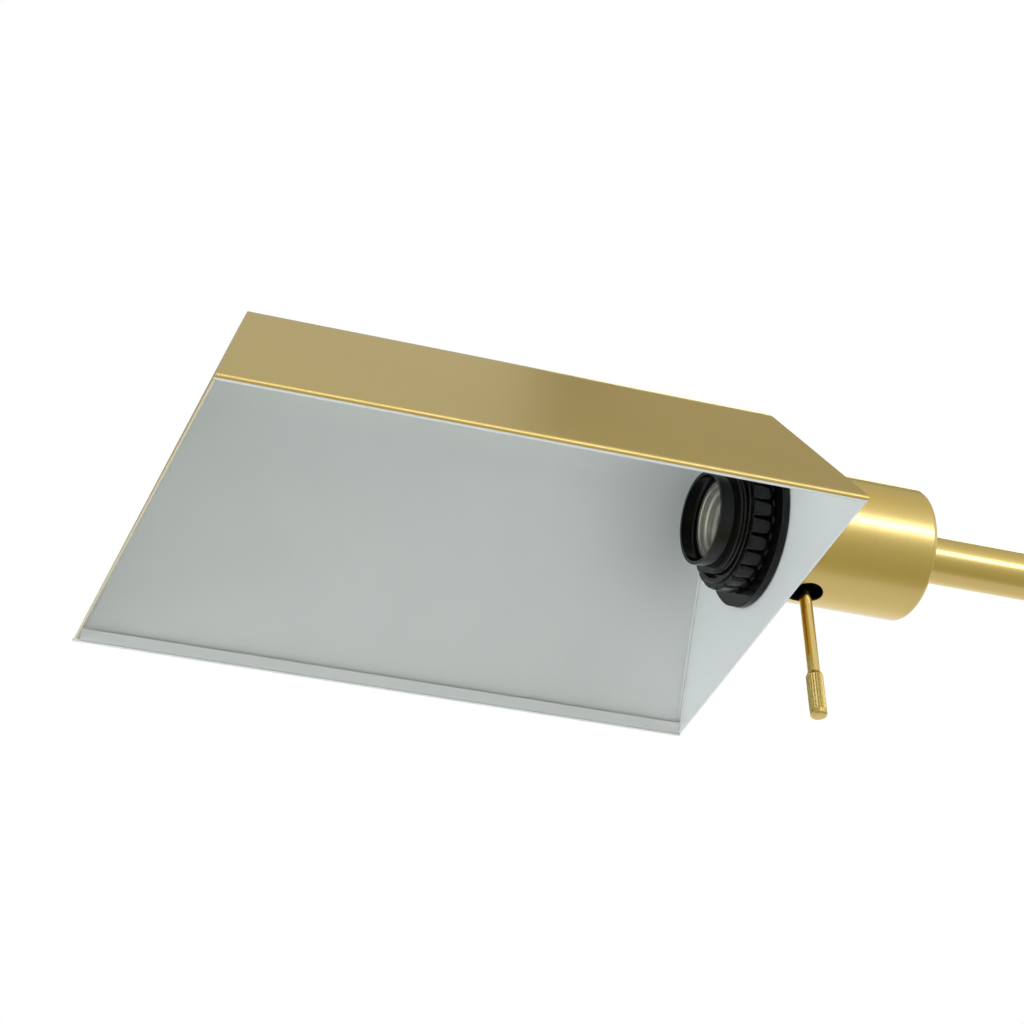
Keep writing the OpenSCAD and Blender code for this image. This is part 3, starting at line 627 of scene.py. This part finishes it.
low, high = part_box("shade_hood")
shade_x0, shade_x1, rim_z = low.x, high.x, low.z
shade_len = shade_x1 - shade_x0
half_w, crown_r, crown_h = 80.2 * MM, 32 * MM, high.z - low.z
crown_c = crown_h - crown_r
sheet_t, hem_w, hem_r = 0.8 * MM, 5 * MM, 1.4 * MM
nose_lean = math.radians(23)
side = math.atan2(crown_c, half_w) + math.asin(crown_r / math.hypot(half_w, crown_c))
up_slope = Vector((0, math.cos(side), math.sin(side)))
outward = Vector((0, -math.sin(side), math.cos(side)))
fold = Vector((0, -(half_w - hem_r / math.sin(side) - hem_r / math.tan(side)), rim_z + hem_r))
crown = Vector((0, 0, rim_z + crown_c))
side_start, side_end = fold + outward * hem_r, crown + outward * crown_r
slope_len = (side_end - side_start).length
middle = (side_start + side_end) / 2
flap = hem_w - hem_r
hood = flat_sheet("folded_hood", shade_len, slope_len, (shade_x0 + shade_len / 2, middle.y, middle.z),
                  (side, 0, 0))
bpy.ops.object.mode_set(mode="EDIT")
select_where(hood, lambda co: co.z > middle.z)
bpy.ops.mesh.spin(steps=40, angle=2 * side, center=crown, axis=(1, 0, 0))
extrude((0, up_slope.y * slope_len, -up_slope.z * slope_len))
bpy.ops.mesh.spin(steps=24, angle=math.pi, center=(0, -fold.y, fold.z), axis=(1, 0, 0))
extrude((0, -up_slope.y * flap, up_slope.z * flap))
select_where(hood, lambda co: (co - Vector((co.x, side_start.y, side_start.z))).length < 1e-5)
bpy.ops.mesh.spin(steps=24, angle=-math.pi, center=fold, axis=(1, 0, 0))
extrude(up_slope * flap)
bpy.ops.mesh.select_all(action="SELECT")
bpy.ops.mesh.remove_doubles(threshold=1e-6)
nose_out = Vector((-math.cos(nose_lean), 0, math.sin(nose_lean)))
bpy.ops.mesh.bisect(plane_co=(shade_x0, 0, rim_z), plane_no=nose_out, clear_outer=True)
# the flap is cut square at the far end, so that it stops short of the leaning panel
flap_top, hem_zone, near = 4.2 * MM, 6 * MM, 0.2 * MM
flap_end = shade_x0 + flap_top * math.tan(nose_lean) + sheet_t
select_where(hood, lambda co: abs(abs(co.y) - abs(fold.y) + (co.z - fold.z) / math.tan(side)
                                  + hem_r / math.sin(side)) < near and co.z < rim_z + hem_zone)
bpy.ops.mesh.bisect(plane_co=(flap_end, 0, rim_z), plane_no=(-1, 0, 0), clear_outer=True)
bpy.ops.object.mode_set(mode="OBJECT")
modify(hood, "SOLIDIFY", thickness=sheet_t, use_even_offset=True)
soften(hood, 0.12 * MM, 2, 40)

# the enamel covers the inside and the flaps, and goes a little further round the rear hem than the front one
for material in (sheet_brass, enamel, hem_brass):
    hood.data.materials.append(material)
for face in hood.data.polygons:
    across = -outward.y if face.center.y > 0 else outward.y
    facing = face.normal.y * across + face.normal.z * outward.z
    spray_edge = 0.1 if face.center.y > 0 else -0.19
    under_crown = (face.center - Vector((face.center.x, 0, crown.z))).length
    if face.center.z > side_end.z:
        inside = under_crown < crown_r - 0.3 * MM
    else:
        inside = facing < spray_edge
    from_fold = math.hypot(abs(face.center.y) - abs(fold.y), face.center.z - fold.z)
    flap_cut = face.normal.x < -0.5 and face.center.x > flap_end - near
    if flap_cut or inside and abs(face.normal.x) < 0.5:
        face.material_index = 1
    else:
        face.material_index = 2 if from_fold < hem_r + near and facing < 0.98 else 0
settle(hood, "head", "brushed_brass", "shade_hood")


# Shade end panels
# Two flat panels of the same sheet, let in between the sides and soldered: the far one leans back, and the
# near one stands upright with a hole for the lampholder's neck. Brass outside, enamel inside.
def half_at(height, inset):
    """Half the shade's width at a height over the rim, inset from the outside of the sheet."""
    top = crown_c + (crown_r - inset) * math.cos(side)
    if height < top:
        return half_w - height / math.tan(side) - inset / math.sin(side)
    return math.sqrt(max(0, (crown_r - inset) ** 2 - (height - crown_c) ** 2))


def end_panel(name):
    """A panel in the YZ plane, drawn row by row from the open edge up to the crown. Half of the sheet's
    thickness goes to each side."""
    let_in = sheet_t + 0.05 * MM
    past_hem = 2 * hem_r + 0.1 * MM
    rows = [(0.5 * MM, past_hem), (4.4 * MM, past_hem), (5 * MM, let_in), (40 * MM, let_in)]
    rows += [(crown_c + (crown_r - let_in) * math.cos(a), let_in)
             for a in (side * (1 - i / 24) for i in range(24))]
    (z0, inset0), (z1, inset1) = rows[:2]
    y0, y1 = half_at(z0, inset0), half_at(z1, inset1)
    panel = flat_sheet(name, z1 - z0, 2 * y0, (0, 0, (z0 + z1) / 2), along_x)
    bpy.ops.object.mode_set(mode="EDIT")
    select_where(panel, lambda co: co.z > (z0 + z1) / 2)
    bpy.ops.transform.resize(value=(1, y1 / y0, 1), center_override=(0, 0, z1))
    for (z, inset), (z_next, inset_next) in zip(rows[1:], rows[2:]):
        extrude((0, 0, z_next - z))
        wider = half_at(z_next, inset_next) / half_at(z, inset)
        bpy.ops.transform.resize(value=(1, wider, 1), center_override=(0, 0, z_next))
    bpy.ops.object.mode_set(mode="OBJECT")
    modify(panel, "SOLIDIFY", thickness=sheet_t, offset=0)
    return panel


# misted brass edge with painted highlight: cut edges dulled by stray enamel, and painted pale for the light
# they catch
edge_mist_and_painted_highlight, tree, shader, coords = start_material("misted brass edge with painted highlight")
specks = add_node(tree, "TexNoise", {"Vector": coords, "Scale": 1 / (0.8 * MM), "Detail": 3.0})
pale = add_node(tree, "Mix", {"Factor_Float": specks.outputs["Fac"], "A_Color": linear("#c9bf98"),
                              "B_Color": linear("#d9d5c0")}, data_type="RGBA")
wire(tree, shader, {"Base Color": pale.outputs[2], "Metallic": 0.4, "Roughness": 0.45})

nose_panel = end_panel("nose_panel")
nose_panel.scale = (1, 1, 1 / math.cos(nose_lean))
place(nose_panel, (shade_x0 + sheet_t / 2 / math.cos(nose_lean), 0, rim_z), (0, nose_lean, 0))
soften(nose_panel, 0.12 * MM, 2, 40)
for material in (sheet_brass, enamel, edge_mist_and_painted_highlight):
    nose_panel.data.materials.append(material)
# the leaning panel's cut lower edge takes the misted edge, painted pale as a painted highlight
for face in nose_panel.data.polygons:
    face.material_index = 1 if face.normal.dot(nose_out) < -0.9 else 2 if face.normal.z < -0.85 else 0
settle(nose_panel, "head", "brushed_brass", "shade_nose_panel")

socket_panel = end_panel("socket_panel")
place(socket_panel, (shade_x1 - sheet_t / 2, 0, rim_z))
neck_hole_r = neck_r + 0.1 * MM
drill(socket_panel, neck_hole_r, -5 * MM, 5 * MM, (shade_x1, 0, arm_z), along_arm)
soften(socket_panel, 0.12 * MM, 2, 40)
for material in (sheet_brass, enamel):
    socket_panel.data.materials.append(material)
for face in socket_panel.data.polygons:
    face.material_index = 1 if face.normal.x < -0.9 or face.normal.z < -0.5 else 0
settle(socket_panel, "head", "white_enamel", "shade_socket_panel")


def seam_bead(name, points):
    """A thin lumpy bead of solder, painted over, that follows a line of points along an inside corner."""
    bead = flat_sheet(name, 1 * MM, 1 * MM, points[0])
    bpy.ops.object.mode_set(mode="EDIT")
    bpy.ops.mesh.merge(type="CENTER")
    for start, end in zip(points, points[1:]):
        extrude(end - start)
    bpy.ops.object.mode_set(mode="OBJECT")
    solder = bead.modifiers.new("solder", "SKIN")
    for point in bead.data.skin_vertices[0].data:
        lump = random.uniform(0.35, 0.75) * MM
        point.radius = (lump, lump)
    bpy.ops.object.modifier_apply(modifier=solder.name)
    modify(bead, "SUBSURF", levels=1, render_levels=1)
    bpy.ops.object.shade_smooth()
    bead.data.materials.append(enamel)
    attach(bead, "head")


random.seed(7)
corner = sheet_t + 0.3 * MM
bead_foot, bead_top = 6 * MM, crown_c + (crown_r - corner) * math.cos(side)
rising = [bead_foot + (bead_top - bead_foot) * i / 24 for i in range(25)]
over = [crown_c + (crown_r - corner) * math.cos(side * (1 - i / 12)) for i in range(1, 12)]
left_half = [(-half_at(z, corner), z) for z in rising + over]
line = left_half + [(0, crown_h - corner)] + [(-y, z) for y, z in reversed(left_half)]
near_x = shade_x1 - corner
seam_bead("near_seam", [Vector((near_x, y, rim_z + z)) for y, z in line])
far_x = shade_x0 + corner / math.cos(nose_lean)
seam_bead("far_seam", [Vector((far_x + z * math.tan(nose_lean), y, rim_z + z)) for y, z in line])


# Shade ring
# A black phenolic ring with a broad flange, screwed onto the lampholder's neck from inside the shade, so that
# the end panel is gripped between the flange and the cup. Raised round-ended pads give the fingers a hold.
ring_low, ring_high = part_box("shade_ring")
flange_start, ring_end = from_back - ring_high.x, from_back - ring_low.x
flange_end, pad_front = flange_start + 2.9 * MM, ring_end - 1 * MM
flange_r, flange_edge, flange_flat = ring_high.y, 0.5 * MM, 0.4 * MM
flat_turn = 0.39
barrel_r, lip_r, lip_edge = 25.5 * MM, 23.2 * MM, 0.4 * MM
front_bore_r, front_bore_end = 21.4 * MM, ring_end - 2.5 * MM
pads = 24
pad_half, pad_edge, pad_rise, pad_end = 3.1 * MM, 1.5 * MM, 1.4 * MM, 2.6 * MM
pad_slope, pad_drop = 0.8 * MM, 0.5 * MM
fillet_r = 0.9 * MM
steps = 56
rings = [(barrel_r, flange_end + (pad_front - flange_end) * i / steps) for i in range(steps + 1)]
ring = turned("fluted_shade_ring", [
    (neck_hole_r, flange_start), (flange_r - flange_edge, flange_start),
    (flange_r, flange_start + flange_edge), (flange_r, flange_end - flange_edge),
    (flange_r - flange_edge, flange_end)] + rings + [
    (lip_r, pad_front), (lip_r, ring_end - lip_edge), (lip_r - lip_edge, ring_end), (front_bore_r, ring_end),
    (front_bore_r, front_bore_end), (neck_hole_r, front_bore_end)], pads * 18)


def pad(radius, turn, height):
    """The ring's radius. The flange's edge has a small flat, and the barrel has full-radius pads with round
    ends between narrow grooves, which slope off at the front and run out in a fillet at the flange."""
    if radius > barrel_r + 1 * MM:
        return min(radius, (flange_r - flange_flat) / max(0.1, math.cos(math.tau * (turn - flat_turn))))
    if abs(radius - barrel_r) > 0.01 * MM:
        return radius
    across = ((turn * pads) % 1 - 0.5) * math.tau * barrel_r / pads
    end = flange_end + 0.1 * MM + pad_end
    gone = math.hypot(across, min(0, height - end) * pad_half / pad_end)
    rise = min(1, max(0, (pad_half - gone) / pad_edge))
    level = min(1, (pad_front - height) / pad_slope)
    padded = radius - pad_rise * (1 - math.sqrt(1 - (1 - rise) ** 2)) - pad_drop * (1 - level) ** 2
    down = min(fillet_r, max(0, fillet_r - (height - flange_end)))
    return max(padded, radius - pad_rise + fillet_r - math.sqrt(fillet_r ** 2 - down ** 2))


reshape(ring, pad)
place(ring, cup_back, along_arm)
soften(ring, 0, angle=40)
settle(ring, "head", "black_phenolic", "shade_ring", phenolic)


# Switch
# A thin brass rod screwed into the black rotor of the switch comes down through the cup's hole, with a small
# knurled brass knob pressed on its end. Heights here are distances from the arm's axis.
dress(phenolic, "switch_rotor")

# polished brass rod: nearly a mirror, so that it shows narrow light and dark stripes, with faint drawn lines
# 0.2 mm wide down it
rod_brass = brass("polished brass rod", (0.2 * MM, 0.2 * MM, 30 * MM), 0.16, 0.06)

rod_r = (rod_high.x - rod_low.x) / 2
rod_top, rod_end, rod_edge = 13.5 * MM, 66.8 * MM, 0.4 * MM
knob_low, knob_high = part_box("switch_knob")
knob_r = (knob_high.x - knob_low.x) / 2
knob_top, knob_end = 58.8 * MM, 77.1 * MM
rough_top = knob_top - 3.2 * MM
rod_flutes, flute_depth = 28, 0.05 * MM
rod = turned("switch_rod_polished", [
    (rod_r - rod_edge, rod_top), (rod_r, rod_top + rod_edge), (rod_r, rough_top),
    (rod_r, rough_top + 0.1 * MM), (rod_r, knob_top + 1 * MM), (rod_r, rod_end)], rod_flutes * 4, capped=True)
reshape(rod, lambda r, turn, h: r - flute_depth * groove(turn, rod_flutes) * (rough_top < h < rod_end))
place(rod, switch_origin, along_switch)
soften(rod, 0, angle=40)
settle(rod, "switch", "brushed_brass", "switch_rod", rod_brass)

knurls, knurl_depth = 20, 0.3 * MM
knurl_top, knurl_end, knurl_run = knob_top + 1.5 * MM, knob_end - 2.5 * MM, 0.1 * MM
knob = turned("switch_knob_knurled", [
    (rod_r, rod_end + 0.1 * MM), (rod_r, knob_top), (rod_r + 0.15 * MM, knob_top),
    (knob_r - 0.25 * MM, knob_top + 0.9 * MM), (knob_r, knurl_top - knurl_run),
    (knob_r, knurl_top + knurl_run), (knob_r, knurl_end - knurl_run), (knob_r, knurl_end + knurl_run),
    (knob_r, knob_end - 0.9 * MM), (knob_r - 0.5 * MM, knob_end - 0.25 * MM),
    (knob_r - 1.1 * MM, knob_end - 0.05 * MM), (knob_r - 2 * MM, knob_end)], knurls * 8, capped=True)
reshape(knob, lambda r, turn, h: r - knurl_depth * groove(turn, knurls)
        * (knurl_top < h < knurl_end and r > knob_r - 0.01 * MM))
place(knob, switch_origin, along_switch)
soften(knob, 0, angle=24)

# knurled brass: plain and bright, with a faint cloudiness 8 mm across, so that its knurls break up the light
knob_brass = brass("knurled brass", (8 * MM, 8 * MM, 8 * MM), 0.32, 0.0)
settle(knob, "switch", "brushed_brass", "switch_knob", knob_brass)


# Floor, light and camera
# A white floor keeps the lamp's shadow and fades out into a white surround. Level cards, which reflections
# alone see, give the brass its light and dark bands, and soft lamps light the shade from all sides.
fade_start, fade_end = 0.3, 2.4

# white floor: matt, and plain white to the eye from the distance where it has faded out
floor_white, tree, shader, coords = start_material("white floor")
wire(tree, shader, {"Base Color": linear("#f0f0ee"), "Roughness": 0.9})
away = add_node(tree, "VectorMath", {"Vector": coords}, operation="LENGTH")
fading = add_node(tree, "MapRange", {"Value": away.outputs["Value"], "From Min": fade_start,
                                     "From Max": fade_end, "To Min": 0.42, "To Max": 1.0})
path = add_node(tree, "LightPath", {})
share = add_node(tree, "Math", {"Value": path.outputs["Is Camera Ray"],
                                "Value_001": fading.outputs["Result"]}, operation="MULTIPLY")
plain = add_node(tree, "Emission", {"Color": linear("#ffffff"), "Strength": 1.0})
paler = add_node(tree, "MixShader", {"Fac": share.outputs[0], "Shader": shader.outputs[0],
                                     "Shader_001": plain.outputs[0]})
wire(tree, tree.nodes["Material Output"], {"Surface": paler.outputs[0]})
floor = flat_sheet("studio_floor", 16, 16, (0, 0, -0.5 * MM))
floor.data.materials.append(floor_white)


def reflected_card(name, centre, width, depth, near, far):
    """A level card that only reflections see. Its (brightness, tint) goes from near, at its -Y edge, to far,
    at its +Y edge."""
    material, tree, shader, coords = start_material(name)
    parts = add_node(tree, "SeparateXYZ", {"Vector": coords})
    across = add_node(tree, "MapRange", {"Value": parts.outputs["Y"], "From Min": centre[1] - depth / 2,
                                         "From Max": centre[1] + depth / 2})
    start, end = [[level * part for part in linear(tint)] for level, tint in (near, far)]
    glow = add_node(tree, "Mix", {"Factor_Float": across.outputs["Result"], "A_Color": start, "B_Color": end},
                    data_type="RGBA")
    wire(tree, shader, {"Base Color": linear("#000000"), "Specular IOR Level": 0.0, "Roughness": 1.0,
                        "Emission Color": glow.outputs[2], "Emission Strength": 1.0})
    card = flat_sheet(name, width, depth, centre)
    card.data.materials.append(material)
    card.visible_camera = False
    card.visible_diffuse = False
    card.visible_shadow = False
    return card


over_floor = 1 * MM
ceiling = reflected_card("grey_ceiling", (0, 0, 2.7), 4.4, 4.4, (1.02, "#fffbe4"), (0.28, "#fffbe4"))
strip = reflected_card("bright_strip", (0.68, 1.05, 2.65), 0.64, 0.9, (2.1, "#fff8d2"), (2.1, "#fff8d2"))
flag = reflected_card("dark_flag", (0.54, 0.55, 2.6), 0.62, 0.32, (0.05, "#ffffff"), (0.05, "#ffffff"))
back_sweep = reflected_card("white_sweep", (0, 4.1, over_floor), 9, 8, (0.84, "#ffffff"), (1.15, "#ffffff"))
turn_sweep = reflected_card("turning_sweep", (0, -0.05, over_floor), 9, 0.3, (0.52, "#fffdcc"),
                            (0.84, "#ffffff"))
front_sweep = reflected_card("grey_sweep", (0, -4.2, over_floor), 9, 8, (1.2, "#ffffff"), (0.52, "#fffdcc"))

world = bpy.data.worlds.new("studio") if bpy.context.scene.world is None else bpy.context.scene.world
bpy.context.scene.world = world
world.use_nodes = True
tree = world.node_tree
tree.nodes.clear()
path = add_node(tree, "LightPath", {})
seen = add_node(tree, "Math", {"Value": path.outputs["Is Camera Ray"],
                               "Value_001": path.outputs["Is Glossy Ray"]}, operation="MAXIMUM")
seen = add_node(tree, "Math", {"Value": seen.outputs[0], "Value_001": path.outputs["Is Transmission Ray"]},
                operation="MAXIMUM")
ambient = add_node(tree, "Background", {"Color": linear("#f6f7f9"), "Strength": 0.34})
backdrop = add_node(tree, "Background", {"Color": linear("#ffffff"), "Strength": 1.0})
mixed = add_node(tree, "MixShader", {"Fac": seen.outputs[0], "Shader": ambient.outputs[0],
                                     "Shader_001": backdrop.outputs[0]})
add_node(tree, "OutputWorld", {"Surface": mixed.outputs[0]})


def soft_lamp(name, location, target, width, height, watts, tint="#ffffff", reflected=False):
    """A rectangular soft lamp that faces its target, and is seen in reflections only where that is asked."""
    bpy.ops.object.light_add(type="AREA", location=location)
    lamp = bpy.context.object
    lamp.name = name
    lamp.data.shape = "RECTANGLE"
    lamp.data.size = width
    lamp.data.size_y = height
    lamp.data.energy = watts
    lamp.data.color = linear(tint)[:3]
    lamp.rotation_euler = (Vector(target) - Vector(location)).to_track_quat("-Z", "Y").to_euler()
    lamp.visible_camera = False
    lamp.visible_glossy = reflected


head = (-0.3, 0, 1.18)
soft_lamp("overhead", (-1.2, -0.9, 2.45), head, 1.4, 1.4, 22)
soft_lamp("front_right", (0.55, -1.85, 1.4), head, 1.3, 0.37, 12, "#dbe6ff", reflected=True)
soft_lamp("front_left_fill", (-2.6, 0.1, 0.32), head, 2.0, 0.9, 24.5, "#f3f6fd")
soft_lamp("back_bounce", (-0.4, 1.5, 0.1), (-0.4, 1.5, 2), 2, 2, 8)
soft_lamp("back_fill", (0.6, 2.2, 2.3), head, 2.0, 1.2, 11)

right = Vector((0.91812, -0.38666, -0.08691))
forward = Vector((0.36023, 0.72279, 0.58976))
up = right.cross(forward)
bpy.ops.object.camera_add()
camera = bpy.context.object
camera.name = "photo_camera"
camera.data.lens = 118.82
camera.data.sensor_width = 36
camera.data.clip_start = 0.05
camera.data.clip_end = 100
camera.matrix_world = Matrix((right, up, -forward)).transposed().to_4x4()
camera.location = (-0.79305, -0.87858, 0.44987)
bpy.context.scene.camera = camera
bpy.context.scene.view_settings.view_transform = "Standard"
